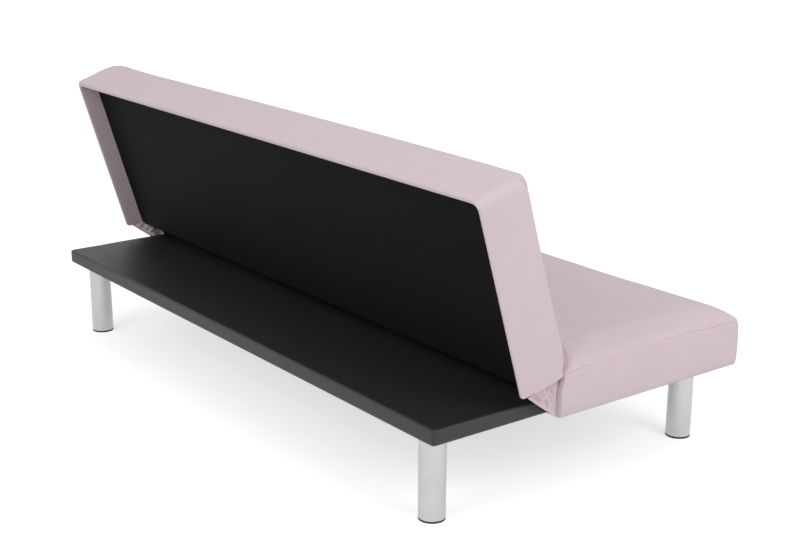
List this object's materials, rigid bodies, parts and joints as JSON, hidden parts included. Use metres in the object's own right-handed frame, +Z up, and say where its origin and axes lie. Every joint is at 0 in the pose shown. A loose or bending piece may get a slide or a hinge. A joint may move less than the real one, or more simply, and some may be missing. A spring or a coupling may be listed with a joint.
{
  "type": "click clack sofa bed",
  "caption": "Armless sofa bed with a padded seat, a tray-shaped backrest that folds flat over a low rear platform on ratchet hinges, and four tube legs.",
  "frame": {"origin": "on the floor, below the middle of the sofa's length and depth in the sitting pose", "axes": "+X along the length to the right as seen from the front, +Y from the seat's front to the rear platform, +Z up"},
  "size_m": [1.78, 0.882, 0.7455],
  "materials": {
    "pine_frame": "matte",
    "plywood": "matte",
    "foam": "matte",
    "pink_fabric": "matte",
    "black_vinyl": "satin",
    "black_backing": "matte",
    "leg_chrome": "satin",
    "glide_plastic": "matte",
    "spring_steel": "satin",
    "clip_plastic": "matte",
    "zinc_steel": "satin",
    "hinge_steel": "satin"
  },
  "bodies": {
    "base": {"seat_front_rail": "pine_frame", "seat_rear_rail": "pine_frame", "seat_side_rails": "pine_frame", "seat_end_board_left": "plywood", "seat_end_board_right": "plywood", "seat_bearers": "pine_frame", "seat_spacer_blocks": "pine_frame", "seat_corner_brackets": "zinc_steel", "seat_leg_blocks": "pine_frame", "seat_springs": "spring_steel", "seat_spring_clips": "clip_plastic", "seat_foam": "foam", "seat_cover": "pink_fabric", "seat_dust_cover": "black_backing", "platform_front_rail": "pine_frame", "platform_rear_rail": "pine_frame", "platform_end_rails": "pine_frame", "platform_bearers": "pine_frame", "platform_top_board": "plywood", "platform_leg_blocks": "pine_frame", "platform_cover": "black_vinyl", "platform_dust_cover": "black_backing", "platform_bolts": "zinc_steel", "platform_nuts": "zinc_steel", "leg_tube_front_left": "leg_chrome", "leg_tube_front_right": "leg_chrome", "leg_tube_rear_left": "leg_chrome", "leg_tube_rear_right": "leg_chrome", "leg_cap_plates": "zinc_steel", "leg_bolts": "zinc_steel", "leg_tee_nuts": "zinc_steel", "leg_glides": "glide_plastic", "hinge_seat_arm_left": "hinge_steel", "hinge_seat_arm_right": "hinge_steel", "hinge_rivets": "zinc_steel", "pawl_pins": "zinc_steel", "pawl_springs": "spring_steel", "seat_hinge_screws": "zinc_steel", "gusset_left": "pink_fabric", "gusset_right": "pink_fabric"},
    "backrest": {"back_side_board_left": "plywood", "back_side_board_right": "plywood", "back_top_board": "plywood", "back_bottom_rail": "pine_frame", "back_top_rail": "pine_frame", "back_side_rails": "pine_frame", "back_stiles": "pine_frame", "back_blocks": "pine_frame", "back_springs": "spring_steel", "back_spring_clips": "clip_plastic", "back_foam": "foam", "back_cover": "pink_fabric", "back_backing": "black_backing", "hinge_back_arm_left": "hinge_steel", "hinge_back_arm_right": "hinge_steel", "hinge_ratchets": "hinge_steel", "back_hinge_screws": "zinc_steel"},
    "pawl_left": {"pawl_left": "hinge_steel"},
    "pawl_right": {"pawl_right": "hinge_steel"}
  },
  "joints": [
    {"name": "backrest_recline", "type": "hinge", "parent": "base", "child": "backrest", "pos_m": [0, 0.138, 0.29], "axis": [1, 0, 0], "range_deg": [-73.5, 8], "deforming": ["gusset_left", "gusset_right"]},
    {"name": "pawl_left_drop", "type": "hinge", "parent": "base", "child": "pawl_left", "pos_m": [-0.8554, 0.132, 0.256], "axis": [1, 0, 0], "range_deg": [-10, 0]},
    {"name": "pawl_right_drop", "type": "hinge", "parent": "base", "child": "pawl_right", "pos_m": [0.8554, 0.132, 0.256], "axis": [1, 0, 0], "range_deg": [-10, 0]}
  ]
}
